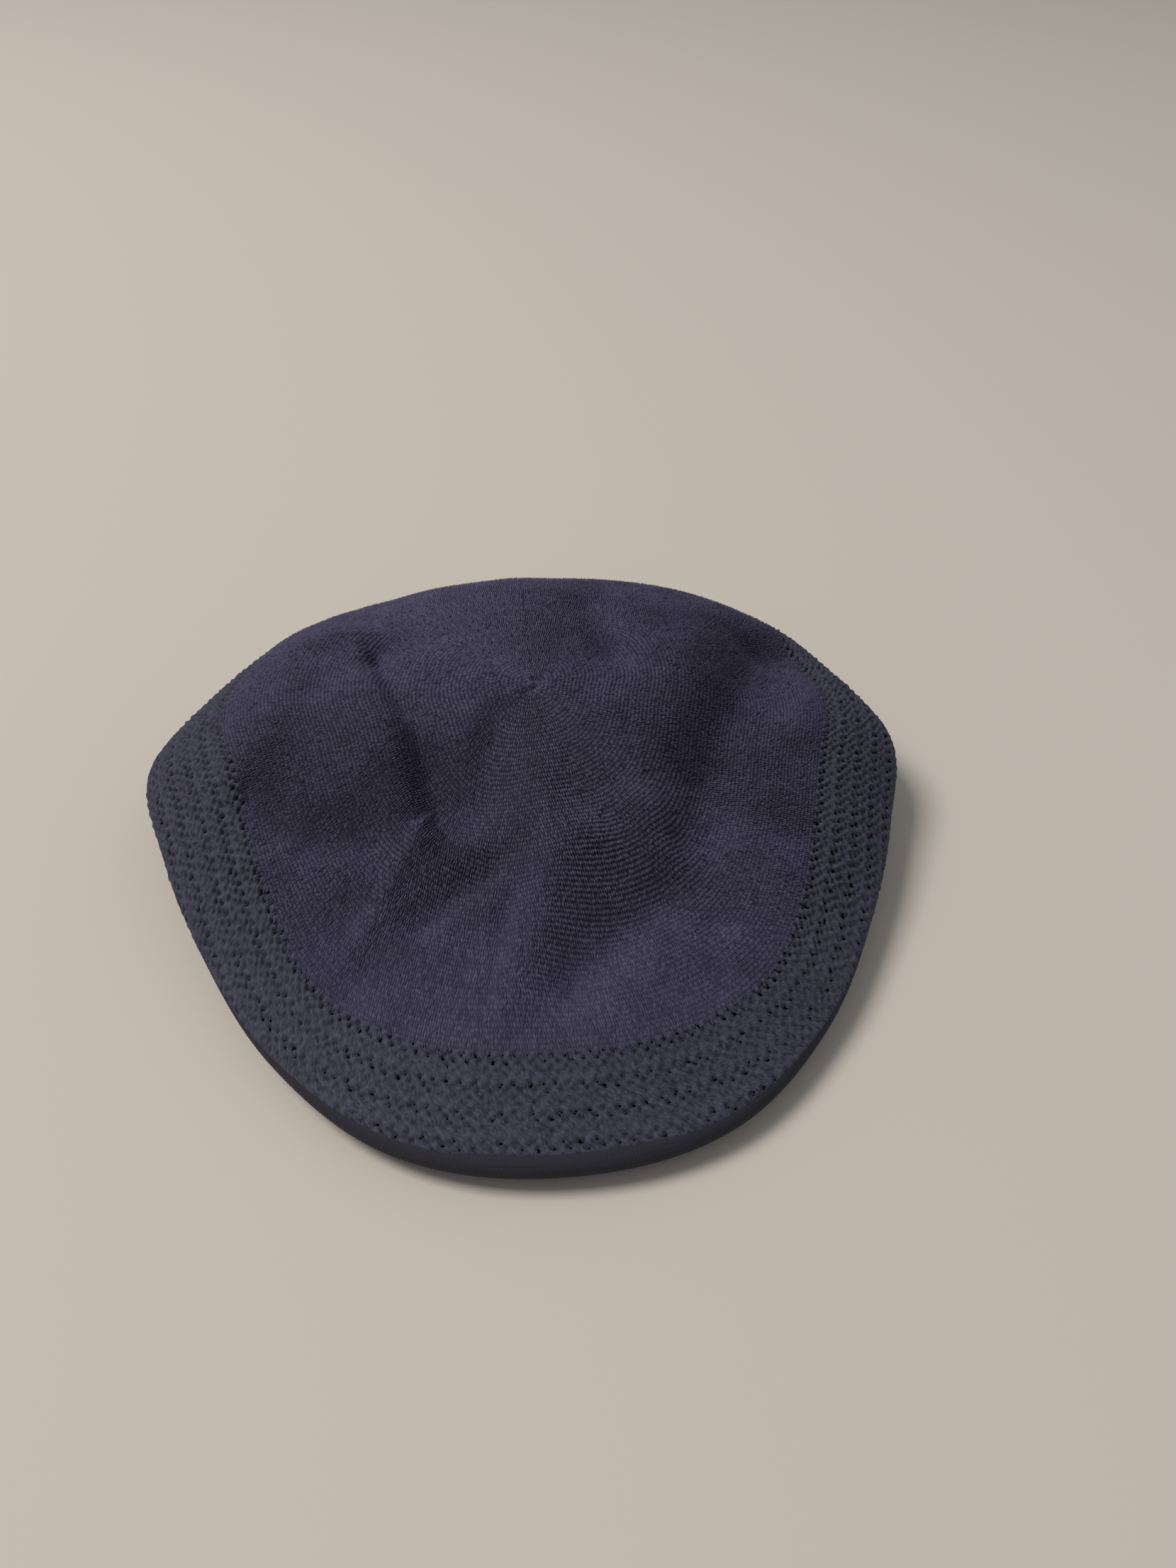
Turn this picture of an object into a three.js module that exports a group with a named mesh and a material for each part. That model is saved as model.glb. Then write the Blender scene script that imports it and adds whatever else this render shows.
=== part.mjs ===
// Knitted flat cap with an openwork vent band, lying on a table as it would by itself.
// Millimetres, +Z up. The front of the cap faces -Y and its right-hand side, seen from the front, is +X.
// The origin is under the middle of the cap's plan, in the plane of the head band's lower edge.

import * as THREE from 'three';

// Driving dimensions
const HALF_WIDTH = 136;      // from the rosette to the corners of the cap, where the side rolls under
const FRONT_REACH = 141.4;   // from the rosette to where the front edge starts to roll under
const BACK_REACH = 106.9;    // from the rosette to where the back starts to roll under
const BACK_QUARTERS = [-0.016, 0.048];  // how much further out the back's left and right quarters stand
const CROWN_RISE = 72;       // height of the rosette
const RIM_RISE = 28;         // height at the corners where the knit starts to roll under
const EDGE_ROLL = 5;         // radius of the rolled rim at the sides
const KNIT_WALL = 2.2;       // plain and openwork knit
const OPENING_LENGTH = 195;  // head opening, front to back, inside the head band
const OPENING_WIDTH = 172;   // head opening, side to side, inside the head band
const BAND_WALL = 2;         // head band
const BAND_RISE = 23;        // height of the head band
const FOOT_RISE = 3;         // underside of the knit and peak above the head band's lower edge
const PEAK_WALL = 2.6;       // covered peak board
const LIP_WIDTH = 0.6;       // strip of the peak edge before it rolls over
const LIP_START = 8;         // degrees from the front where the peak edge begins to narrow
const LIP_NARROWING = 0.45;  // how far round the roll it has drawn back at the ends of the peak
const LIP_TAPER = 14;        // degrees over which the peak edge narrows away at each end
const PEAK_HALF_ANGLE = 78;  // the peak edge runs this many degrees to each side of the front
const SEAM_GAP = 0.3;        // clearance between neighbouring pieces
const BOARD_GAP = 0.6;       // clearance of the peak board behind the leaning back of the peak edge

// Pattern and mesh divisions
const CROWN_ROWS = 15;
const HOLES_AROUND = 40;
const COLUMNS = 2 * HOLES_AROUND;
const HOLE_ROWS = 3;
const HOLE_SHARE = 0.36;     // of the pitch around
const HOLE_TO_WEB = 0.6;     // a hole's length away from the rosette, over that of the knit between two
const LIP_ROWS = 6;
const UNDER_ROWS = 3;
const BEAD_BACK = [0.04, 0.96];  // where the back of the peak edge's bead starts and ends on its chord
const LENGTH_STEPS = 48;     // steps for measuring along a section
const SHARE_STEP = 0.005;    // small step along a section, for slopes and normals
const BEARING_STEP = 0.4;    // small step around, in degrees, for normals
const SIDE_BLEND = 4;        // how soon a fold's left spread gives way to its right one at its crest
const TINY = 1e-6;

// Rows of values under named columns
const table = (columns, rows) => rows.map(
  (row) => Object.fromEntries(columns.map((column, i) => [column, row[i]])));

// One row for each section through the rosette, the same on both sides. bearing is in degrees from the
// front. reach is a share of the plan ellipse, rim of RIM_RISE, and the two handles of the section's
// curve are shares of the section's own reach (out) and of CROWN_RISE (near) or of the drop from the
// rosette to the rim (far). roll is a share of EDGE_ROLL. vent is the share of the section's curve, from
// the rosette, where plain knit gives way to openwork.
const SECTION_KEYS = ['reach', 'rim', 'nearOut', 'nearUp', 'farOut', 'farUp', 'roll', 'vent'];
const SECTIONS = table(['bearing', ...SECTION_KEYS], [
  [0, 1.000, 0.43, 0.37, 0.84, 0.65, 0.26, 0.80, 0.80],
  [20, 0.992, 0.43, 0.37, 0.84, 0.66, 0.26, 0.80, 0.81],
  [40, 0.938, 0.48, 0.37, 0.87, 0.70, 0.30, 0.80, 0.83],
  [60, 0.907, 0.61, 0.41, 0.93, 0.75, 0.41, 0.84, 0.77],
  [80, 0.939, 0.79, 0.46, 0.98, 0.82, 0.54, 0.92, 0.68],
  [97, 1.011, 1.00, 0.50, 1.00, 0.81, 0.60, 1.00, 0.68],
  [112, 1.005, 1.04, 0.52, 1.02, 0.87, 0.65, 1.00, 0.72],
  [132, 1.057, 1.00, 0.54, 1.03, 0.87, 0.64, 1.00, 0.78],
  [155, 1.036, 0.93, 0.56, 1.02, 0.93, 0.73, 1.00, 0.78],
  [180, 1.000, 0.89, 0.58, 1.02, 0.96, 0.80, 1.00, 0.78],
]);

// One row for each dent or fold of the crown. Its crest runs from the start by the bend to the end, in
// plan from the rosette: side is a share of HALF_WIDTH, ahead a share of FRONT_REACH. left and right are
// how far it spreads to each side of the crest, as shares of CROWN_RISE, and lift is how high it stands
// (or, below nought, how deep it is), a share of CROWN_RISE.
const FOLDS = table(['name', 'side', 'ahead', 'left', 'right', 'lift'], [
  ['left crease', [-0.38, -0.29, -0.25], [-0.19, 0.04, 0.25], 0.09, 0.28, -0.105],
  ['brow crease', [-0.56, -0.48, -0.40], [-0.08, -0.14, -0.17], 0.09, 0.09, -0.012],
  ['left brow', [-0.48, -0.34, -0.22], [-0.31, -0.30, -0.12], 0.10, 0.10, 0.015],
  ['left back edge', [-0.67, -0.63, -0.54], [0.02, -0.18, -0.33], 0.15, 0.30, 0.045],
  ['right hollow', [0.64, 0.53, 0.41], [-0.25, -0.02, 0.20], 0.18, 0.34, -0.15],
  ['hollow tail', [0.33, 0.35, 0.38], [0.37, 0.44, 0.52], 0.08, 0.14, -0.045],
  ['left ridge', [-0.28, -0.39, -0.48], [0.33, 0.49, 0.60], 0.06, 0.07, 0.016],
  ['middle ridge', [0.08, -0.01, -0.10], [0.39, 0.53, 0.68], 0.13, 0.13, 0.045],
  ['right ridge', [0.22, 0.33, 0.45], [0.30, 0.43, 0.63], 0.08, 0.10, 0.028],
  ['left front hollow', [-0.13, -0.21, -0.29], [0.43, 0.47, 0.52], 0.08, 0.08, -0.038],
  ['right front hollow', [0.27, 0.17, 0.05], [0.49, 0.56, 0.65], 0.11, 0.13, -0.048],
  ['front crease', [-0.09, -0.11, -0.13], [0.50, 0.59, 0.68], 0.05, 0.06, -0.018],
  ['left foot hollow', [-0.71, -0.56, -0.42], [0.16, 0.28, 0.32], 0.11, 0.11, -0.035],
  ['right vent hollow', [0.66, 0.64, 0.61], [0.10, 0.19, 0.28], 0.11, 0.11, -0.02],
  ['back dent', [0.17, 0.19, 0.22], [-0.35, -0.23, -0.12], 0.13, 0.13, -0.045],
  ['middle hollow', [-0.08, -0.10, -0.12], [0.06, 0.16, 0.25], 0.10, 0.24, -0.034],
]);
const FOLD_FADE = [0.72, 1.00];  // folds die away between these shares of a section

const HALF_TURN = 180;
const radians = THREE.MathUtils.degToRad;
const clamp = THREE.MathUtils.clamp;
const mix = THREE.MathUtils.lerp;

// Degrees from the front, either way round
const fromFront = (bearing) => Math.abs(
  THREE.MathUtils.euclideanModulo(bearing + HALF_TURN, 2 * HALF_TURN) - HALF_TURN);

// A smooth curve through the table's rows, mirrored past the front and past the back
function sectionAt(bearing) {
  const angle = fromFront(bearing);
  const row = (i) => {
    if (i < 0) return { ...SECTIONS[-i], bearing: -SECTIONS[-i].bearing };
    if (i < SECTIONS.length) return SECTIONS[i];
    const mirrored = SECTIONS[2 * SECTIONS.length - 2 - i];
    return { ...mirrored, bearing: 2 * HALF_TURN - mirrored.bearing };
  };
  let i = SECTIONS.findIndex((section) => section.bearing > angle) - 1;
  if (i < 0) i = SECTIONS.length - 2;
  const [before, from, to, after] = [row(i - 1), row(i), row(i + 1), row(i + 2)];
  const step = to.bearing - from.bearing;
  const s = (angle - from.bearing) / step;
  const values = {};
  for (const key of SECTION_KEYS) {
    const slopeFrom = (to[key] - before[key]) / (to.bearing - before.bearing) * step;
    const slopeTo = (after[key] - from[key]) / (after.bearing - from.bearing) * step;
    values[key] = (2 * s ** 3 - 3 * s ** 2 + 1) * from[key] + (s ** 3 - 2 * s ** 2 + s) * slopeFrom
      + (3 * s ** 2 - 2 * s ** 3) * to[key] + (s ** 3 - s ** 2) * slopeTo;
  }
  return values;
}

// Radius of an ellipse at a bearing from its front end
function ellipse(bearing, along, across) {
  const a = radians(bearing);
  return 1 / Math.hypot(Math.cos(a) / along, Math.sin(a) / across);
}

const bandInner = (bearing) => ellipse(bearing, OPENING_LENGTH / 2, OPENING_WIDTH / 2);
const bandOuter = (bearing) => ellipse(
  bearing, OPENING_LENGTH / 2 + BAND_WALL, OPENING_WIDTH / 2 + BAND_WALL);
const underEnd = (bearing) => ellipse(
  bearing, OPENING_LENGTH / 2 + BAND_WALL + SEAM_GAP, OPENING_WIDTH / 2 + BAND_WALL + SEAM_GAP);

// Everything that fixes one section: the top curve's four points, the rolled rim and the underside
function sectionShape(bearing) {
  const v = sectionAt(bearing);
  const ahead = Math.cos(radians(bearing)) > 0;
  const quarter = BACK_QUARTERS[Math.sin(radians(bearing)) > 0 ? 1 : 0];
  const skew = ahead ? 1 : 1 + quarter * Math.sin(radians(2 * bearing)) ** 2;
  const reach = skew * v.reach * ellipse(bearing, ahead ? FRONT_REACH : BACK_REACH, HALF_WIDTH);
  const rim = v.rim * RIM_RISE;
  const roll = v.roll * EDGE_ROLL;
  const curve = new THREE.CubicBezierCurve(
    new THREE.Vector2(0, CROWN_RISE),
    new THREE.Vector2(v.nearOut * reach, v.nearUp * CROWN_RISE),
    new THREE.Vector2(v.farOut * reach, rim + (CROWN_RISE - rim) * v.farUp),
    new THREE.Vector2(reach, rim));
  const heading = Math.atan2(rim - curve.v2.y, reach - curve.v2.x);
  const centre = new THREE.Vector2(reach + roll * Math.sin(heading), rim - roll * Math.cos(heading));
  const end = new THREE.Vector2(underEnd(bearing), FOOT_RISE);
  const start = heading + Math.PI / 2;
  const toEnd = end.clone().sub(centre);
  let finish = Math.atan2(toEnd.y, toEnd.x) + Math.acos(clamp(roll / toEnd.length(), -1, 1));
  if (finish > start) finish -= 2 * Math.PI;
  return { v, curve, centre, roll, start, finish, end };
}

const shapes = new Map();
function shapeAt(bearing) {
  const key = bearing.toFixed(4);
  if (!shapes.has(key)) shapes.set(key, sectionShape(bearing));
  return shapes.get(key);
}

// A point of one section: 0 to 1 is the top, 1 to 2 the rolled rim, 2 to 3 the underside
function sectionPoint(bearing, share) {
  const shape = shapeAt(bearing);
  if (share <= 1) return shape.curve.getPoint(Math.max(share, 0));
  const turn = mix(shape.start, shape.finish, Math.min(share - 1, 1));
  const onRoll = new THREE.Vector2(Math.cos(turn), Math.sin(turn));
  onRoll.multiplyScalar(shape.roll).add(shape.centre);
  return share <= 2 ? onRoll : onRoll.lerp(shape.end, share - 2);
}

function distanceToLine(x, y, x0, y0, x1, y1) {
  const ux = x1 - x0;
  const uy = y1 - y0;
  const along = clamp(((x - x0) * ux + (y - y0) * uy) / (ux ** 2 + uy ** 2), 0, 1);
  const dx = x - x0 - along * ux;
  const dy = y - y0 - along * uy;
  return { distance: Math.hypot(dx, dy), side: ux * dy - uy * dx };
}

// How far the folds lift the crown at a place in plan
function foldLift(x, y) {
  let lift = 0;
  for (const fold of FOLDS) {
    const px = fold.side.map((share) => share * HALF_WIDTH);
    const py = fold.ahead.map((share) => -share * FRONT_REACH);
    const near = [0, 1].map((k) => distanceToLine(x, y, px[k], py[k], px[k + 1], py[k + 1]))
      .sort((a, b) => a.distance - b.distance)[0];
    const onRight = near.side / (near.distance * HALF_WIDTH + 1);
    const spread = mix(fold.left, fold.right, clamp(0.5 + onRight * SIDE_BLEND, 0, 1)) * CROWN_RISE;
    lift += fold.lift * CROWN_RISE * Math.exp(-((near.distance / spread) ** 2));
  }
  return lift;
}

// The rosette stands behind the middle of the plan by half the difference of the cap's two ends
const outermost = (bearing) => shapeAt(bearing).centre.x + shapeAt(bearing).roll;
const ROSETTE_BACK = (outermost(0) - outermost(180)) / 2;

// The cap's outer surface
function surfacePoint(bearing, share) {
  const p = sectionPoint(bearing, share);
  const x = p.x * Math.sin(radians(bearing));
  const y = -p.x * Math.cos(radians(bearing));
  const fade = clamp((FOLD_FADE[1] - share) / (FOLD_FADE[1] - FOLD_FADE[0]), 0, 1);
  const lift = fade > 0 ? foldLift(x, y) * fade : 0;
  return new THREE.Vector3(x, y + ROSETTE_BACK, p.y + lift);
}

// Outward normal of the surface, from small steps each way
function surfaceNormal(bearing, share) {
  const s = Math.max(share, 2 * SHARE_STEP);
  const along = surfacePoint(bearing, s + SHARE_STEP).sub(surfacePoint(bearing, s - SHARE_STEP));
  const around = surfacePoint(bearing + BEARING_STEP, s).sub(surfacePoint(bearing - BEARING_STEP, s));
  return along.cross(around).normalize();
}

function insidePoint(bearing, share, wall) {
  if (share <= 0) return new THREE.Vector3(0, ROSETTE_BACK, CROWN_RISE + foldLift(0, 0) - wall);
  return surfacePoint(bearing, share).addScaledVector(surfaceNormal(bearing, share), -wall);
}

// Shares that divide a stretch of one section into lengths in the given proportions
function sharesByLength(bearing, from, to, proportions) {
  const lengths = [0];
  let last = sectionPoint(bearing, from);
  for (let i = 1; i <= LENGTH_STEPS; i += 1) {
    const next = sectionPoint(bearing, mix(from, to, i / LENGTH_STEPS));
    lengths.push(lengths[i - 1] + next.distanceTo(last));
    last = next;
  }
  return proportions.map((proportion) => {
    const target = proportion * lengths[LENGTH_STEPS];
    const i = clamp(lengths.findIndex((length) => length >= target), 1, LENGTH_STEPS);
    const part = (target - lengths[i - 1]) / Math.max(lengths[i] - lengths[i - 1], TINY);
    return mix(from, to, (i - 1 + part) / LENGTH_STEPS);
  });
}

// The share that lies a given length further along one section
function shareAfter(bearing, share, length) {
  const before = sectionPoint(bearing, share - SHARE_STEP);
  const after = sectionPoint(bearing, share + SHARE_STEP);
  return share + length * 2 * SHARE_STEP / before.distanceTo(after);
}

const evenly = (count) => Array.from({ length: count + 1 }, (unused, i) => i / count);

// A closed wall from a grid of cells. outer and inner give a vertex of each face for row i and column j.
// Cells for which isOpen is true are left out, and every edge that borders nothing gets a rim.
function wallGeometry({ rows, columns, wraps, hasPole, outer, inner, isOpen = () => false }) {
  const positions = [];
  const indices = [];
  const known = new Map();
  const across = wraps ? columns : columns + 1;
  const vertex = (face, i, j) => {
    const key = hasPole && i === 0 ? `${face} pole` : `${face} ${i} ${j % across}`;
    if (!known.has(key)) {
      known.set(key, positions.length / 3);
      positions.push(...(face === 'outer' ? outer : inner)(i, j % across).toArray());
    }
    return known.get(key);
  };
  const triangle = (a, b, c) => {
    if (a !== b && b !== c && c !== a) indices.push(a, b, c);
  };
  const quad = (a, b, c, d) => {
    triangle(a, b, c);
    triangle(a, c, d);
  };
  const isSolid = (i, j) => {
    if (i < 0 || i >= rows) return false;
    if (!wraps && (j < 0 || j >= columns)) return false;
    return !isOpen(i, (j + columns) % columns);
  };
  for (let i = 0; i < rows; i += 1) {
    for (let j = 0; j < columns; j += 1) {
      if (!isSolid(i, j)) continue;
      const corners = [[i, j], [i, j + 1], [i + 1, j + 1], [i + 1, j]];
      const [o00, o01, o11, o10] = corners.map((corner) => vertex('outer', ...corner));
      const [n00, n01, n11, n10] = corners.map((corner) => vertex('inner', ...corner));
      quad(o00, o10, o11, o01);
      quad(n00, n01, n11, n10);
      if (!isSolid(i - 1, j) && !(hasPole && i === 0)) quad(o01, n01, n00, o00);
      if (!isSolid(i + 1, j)) quad(o10, n10, n11, o11);
      if (!isSolid(i, j - 1)) quad(o00, n00, n10, o10);
      if (!isSolid(i, j + 1)) quad(o11, n11, n01, o01);
    }
  }
  const geometry = new THREE.BufferGeometry();
  geometry.setAttribute('position', new THREE.Float32BufferAttribute(positions, 3));
  geometry.setIndex(indices);
  geometry.computeVertexNormals();
  return geometry;
}

// Where the openwork ends: at or on the roll along the peak edge, and past the roll elsewhere
function ventEnd(bearing) {
  const angle = fromFront(bearing);
  const narrowed = LIP_NARROWING * THREE.MathUtils.smoothstep(angle, LIP_START, PEAK_HALF_ANGLE);
  const ended = THREE.MathUtils.smoothstep(
    angle, PEAK_HALF_ANGLE - LIP_TAPER / 2, PEAK_HALF_ANGLE + LIP_TAPER);
  return mix(shareAfter(bearing, 1 - SHARE_STEP, -LIP_WIDTH), 2, mix(narrowed, 1, ended));
}

const ventStart = (bearing) => shapeAt(bearing).v.vent;

// Every piece shares the columns of the openwork, alternately the two edges of a hole, so that the edges
// of neighbouring pieces run side by side
const columnBearing = (j) => (Math.floor(j / 2) + (j % 2 ? 0.5 : -0.5) * HOLE_SHARE) * 360 / HOLES_AROUND;

// Crown: plain knit from the rosette out to the openwork
function crown() {
  const cut = evenly(CROWN_ROWS);
  const shares = Array.from({ length: COLUMNS }, (unused, j) => {
    const b = columnBearing(j);
    return sharesByLength(b, 0, shareAfter(b, ventStart(b), -SEAM_GAP), cut);
  });
  return wallGeometry({
    rows: CROWN_ROWS,
    columns: COLUMNS,
    wraps: true,
    hasPole: true,
    outer: (i, j) => surfacePoint(columnBearing(j), shares[j][i]),
    inner: (i, j) => insidePoint(columnBearing(j), shares[j][i], KNIT_WALL),
  });
}

// Vent band: openwork from the plain knit to the peak edge, and round the rolled rim at the sides and back
function ventBand() {
  const rows = 2 * HOLE_ROWS + 1;
  const lengths = Array.from({ length: rows }, (unused, i) => (i % 2 ? HOLE_TO_WEB : 1));
  const total = lengths.reduce((sum, length) => sum + length, 0);
  const cut = [0];
  for (const length of lengths) cut.push(cut[cut.length - 1] + length / total);
  const shares = Array.from({ length: COLUMNS }, (unused, j) => {
    const b = columnBearing(j);
    return sharesByLength(b, ventStart(b), ventEnd(b), cut);
  });
  return wallGeometry({
    rows,
    columns: COLUMNS,
    wraps: true,
    hasPole: false,
    outer: (i, j) => surfacePoint(columnBearing(j), shares[j][i]),
    inner: (i, j) => insidePoint(columnBearing(j), shares[j][i], KNIT_WALL),
    isOpen: (i, j) => i % 2 === 1 && j % 2 === 0,
  });
}

// Bearings of the columns within a span to each side of the front, and of those in the rest of the round
function frontBearings(halfAngle) {
  const all = Array.from({ length: 2 * COLUMNS }, (unused, k) => columnBearing(k - COLUMNS));
  return all.filter((b) => Math.abs(b) <= halfAngle);
}

function backBearings(halfAngle) {
  const last = frontBearings(halfAngle).at(-1);
  const all = Array.from({ length: COLUMNS + 1 }, (unused, k) => columnBearing(k));
  return all.filter((b) => b >= last - TINY && b <= 360 - last + TINY);
}

// Peak edge: a solid rolled bead, its outside on the cap's own surface and its back a flat chord
function peakEdge() {
  const bearings = frontBearings(PEAK_HALF_ANGLE);
  const cut = evenly(LIP_ROWS);
  const shares = bearings.map((b) => sharesByLength(b, shareAfter(b, ventEnd(b), SEAM_GAP), 2, cut));
  const outside = (i, j) => surfacePoint(bearings[j], shares[j][i]);
  return wallGeometry({
    rows: LIP_ROWS,
    columns: bearings.length - 1,
    wraps: false,
    hasPole: false,
    outer: outside,
    inner: (i, j) => outside(0, j).lerp(outside(LIP_ROWS, j), mix(...BEAD_BACK, i / LIP_ROWS)),
  });
}

// Underside from the rolled rim to the head band, on the cap's own surface. Its end at the rim is square
// to the knit, and its end at the head band is upright.
function underside(bearings, wall, clearance) {
  const cut = evenly(UNDER_ROWS);
  const shares = bearings.map((b) => sharesByLength(b, shareAfter(b, 2 + SHARE_STEP, clearance), 3, cut));
  const upright = (i, j) => surfacePoint(bearings[j], shares[j][i]).add(new THREE.Vector3(0, 0, wall));
  return wallGeometry({
    rows: UNDER_ROWS,
    columns: bearings.length - 1,
    wraps: false,
    hasPole: false,
    outer: (i, j) => surfacePoint(bearings[j], shares[j][i]),
    inner: (i, j) => insidePoint(bearings[j], shares[j][i], wall).lerp(upright(i, j), i / UNDER_ROWS),
  });
}

// Peak: the stiff board behind the peak edge
const peak = () => underside(frontBearings(PEAK_HALF_ANGLE), PEAK_WALL, BOARD_GAP);

// Under band: the knit turned in under the sides and back, from one end of the peak round to the other
function underBand() {
  const bearings = backBearings(PEAK_HALF_ANGLE);
  const clearance = THREE.MathUtils.radToDeg(SEAM_GAP / bandOuter(bearings[0]));
  bearings[0] += clearance;
  bearings[bearings.length - 1] -= clearance;
  return underside(bearings, KNIT_WALL, SEAM_GAP);
}

// Head band: an upright oval ring with a flat lower edge
function headBand() {
  const at = (radius, b, z) => new THREE.Vector3(
    radius * Math.sin(radians(b)), -radius * Math.cos(radians(b)) + ROSETTE_BACK, z);
  return wallGeometry({
    rows: 1,
    columns: COLUMNS,
    wraps: true,
    hasPole: false,
    outer: (i, j) => at(bandOuter(columnBearing(j)), columnBearing(j), (1 - i) * BAND_RISE),
    inner: (i, j) => at(bandInner(columnBearing(j)), columnBearing(j), (1 - i) * BAND_RISE),
  });
}

const COLOURS = { plain: 0x2b2b4a, vent: 0x2a2d44, edge: 0x23253a, band: 0x1f2133 };

const cap = new THREE.Group();
function addPiece(name, geometry, colour) {
  const material = new THREE.MeshStandardMaterial({ color: colour, roughness: 0.9, metalness: 0 });
  const mesh = new THREE.Mesh(geometry, material);
  mesh.name = name;
  cap.add(mesh);
}

addPiece('crown', crown(), COLOURS.plain);
addPiece('vent_band', ventBand(), COLOURS.vent);
addPiece('peak_edge', peakEdge(), COLOURS.edge);
addPiece('peak', peak(), COLOURS.edge);
addPiece('under_band', underBand(), COLOURS.vent);
addPiece('head_band', headBand(), COLOURS.band);

export default cap;
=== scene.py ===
"""Knitted flat cap with an openwork vent band, lying on a table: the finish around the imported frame.

The cap is drawn section by section from its rosette, as the frame is, in millimetres, and its knit is
laid on that surface stitch by stitch. Everything is turned into metres as its mesh is made.
"""

import math

import bpy
import numpy as np
from mathutils import Matrix, Vector


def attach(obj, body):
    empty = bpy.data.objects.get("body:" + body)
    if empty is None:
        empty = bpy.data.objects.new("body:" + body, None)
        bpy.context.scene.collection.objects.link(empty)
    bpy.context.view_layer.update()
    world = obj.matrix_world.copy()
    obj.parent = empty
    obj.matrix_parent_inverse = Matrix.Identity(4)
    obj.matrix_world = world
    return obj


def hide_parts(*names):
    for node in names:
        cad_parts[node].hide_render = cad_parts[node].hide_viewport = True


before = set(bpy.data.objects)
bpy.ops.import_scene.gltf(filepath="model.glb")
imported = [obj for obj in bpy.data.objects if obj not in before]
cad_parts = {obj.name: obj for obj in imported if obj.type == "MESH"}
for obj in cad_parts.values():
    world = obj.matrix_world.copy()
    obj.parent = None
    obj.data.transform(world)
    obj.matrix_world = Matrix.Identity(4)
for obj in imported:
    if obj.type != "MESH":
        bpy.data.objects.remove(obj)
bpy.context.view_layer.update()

MM = 0.001
rng = np.random.default_rng(20)

# The cap's shape, the same sizes and tables as the frame's
HALF_WIDTH = 136.0
FRONT_REACH = 141.4
BACK_REACH = 106.9
BACK_QUARTERS = (-0.016, 0.048)  # how much further out the back's left and right quarters stand
CROWN_RISE = 72.0
RIM_RISE = 28.0
EDGE_ROLL = 5.0
KNIT_WALL = 2.2
OPENING_LENGTH = 195.0
OPENING_WIDTH = 172.0
BAND_WALL = 2.0
BAND_RISE = 23.0
FOOT_RISE = 3.0
LIP_WIDTH = 0.6
PEAK_HALF_ANGLE = 78.0
LIP_TAPER = 14.0
SEAM_GAP = 0.3

# One row for each bearing, in degrees from the front, mirrored left to right: the shares of the reach, rise
# and roll above, and where the openwork starts
SECTION_COLUMNS = ("bearing", "reach", "rim", "near_out", "near_up", "far_out", "far_up", "roll", "vent")
SECTIONS = np.array([
    (0, 1.000, 0.43, 0.37, 0.84, 0.65, 0.26, 0.80, 0.80),
    (20, 0.992, 0.43, 0.37, 0.84, 0.66, 0.26, 0.80, 0.81),
    (40, 0.938, 0.48, 0.37, 0.87, 0.70, 0.30, 0.80, 0.83),
    (60, 0.907, 0.61, 0.41, 0.93, 0.75, 0.41, 0.84, 0.77),
    (80, 0.939, 0.79, 0.46, 0.98, 0.82, 0.54, 0.92, 0.68),
    (97, 1.011, 1.00, 0.50, 1.00, 0.81, 0.60, 1.00, 0.68),
    (112, 1.005, 1.04, 0.52, 1.02, 0.87, 0.65, 1.00, 0.72),
    (132, 1.057, 1.00, 0.54, 1.03, 0.87, 0.64, 1.00, 0.78),
    (155, 1.036, 0.93, 0.56, 1.02, 0.93, 0.73, 1.00, 0.78),
    (180, 1.000, 0.89, 0.58, 1.02, 0.96, 0.80, 1.00, 0.78),
])

# Crest through three places in plan, as shares of HALF_WIDTH and FRONT_REACH, then the spread to its left
# and right and its lift, as shares of CROWN_RISE
FOLDS = [
    ("left crease", (-0.38, -0.29, -0.25), (-0.19, 0.04, 0.25), 0.09, 0.28, -0.105),
    ("brow crease", (-0.56, -0.48, -0.40), (-0.08, -0.14, -0.17), 0.09, 0.09, -0.012),
    ("left brow", (-0.48, -0.34, -0.22), (-0.31, -0.30, -0.12), 0.10, 0.10, 0.015),
    ("left back edge", (-0.67, -0.63, -0.54), (0.02, -0.18, -0.33), 0.15, 0.30, 0.045),
    ("right hollow", (0.64, 0.53, 0.41), (-0.25, -0.02, 0.20), 0.18, 0.34, -0.15),
    ("hollow tail", (0.33, 0.35, 0.38), (0.37, 0.44, 0.52), 0.08, 0.14, -0.045),
    ("left ridge", (-0.28, -0.39, -0.48), (0.33, 0.49, 0.60), 0.06, 0.07, 0.016),
    ("middle ridge", (0.08, -0.01, -0.10), (0.39, 0.53, 0.68), 0.13, 0.13, 0.045),
    ("right ridge", (0.22, 0.33, 0.45), (0.30, 0.43, 0.63), 0.08, 0.10, 0.028),
    ("left front hollow", (-0.13, -0.21, -0.29), (0.43, 0.47, 0.52), 0.08, 0.08, -0.038),
    ("right front hollow", (0.27, 0.17, 0.05), (0.49, 0.56, 0.65), 0.11, 0.13, -0.048),
    ("front crease", (-0.09, -0.11, -0.13), (0.50, 0.59, 0.68), 0.05, 0.06, -0.018),
    ("left foot hollow", (-0.71, -0.56, -0.42), (0.16, 0.28, 0.32), 0.11, 0.11, -0.035),
    ("right vent hollow", (0.66, 0.64, 0.61), (0.10, 0.19, 0.28), 0.11, 0.11, -0.02),
    ("back dent", (0.17, 0.19, 0.22), (-0.35, -0.23, -0.12), 0.13, 0.13, -0.045),
    ("middle hollow", (-0.08, -0.10, -0.12), (0.06, 0.16, 0.25), 0.10, 0.24, -0.034),
]
FOLD_FADE = (0.72, 1.00)   # folds die away between these shares of a section
SIDE_BLEND = 4.0           # how sharply a fold's left spread gives way to its right one
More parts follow.
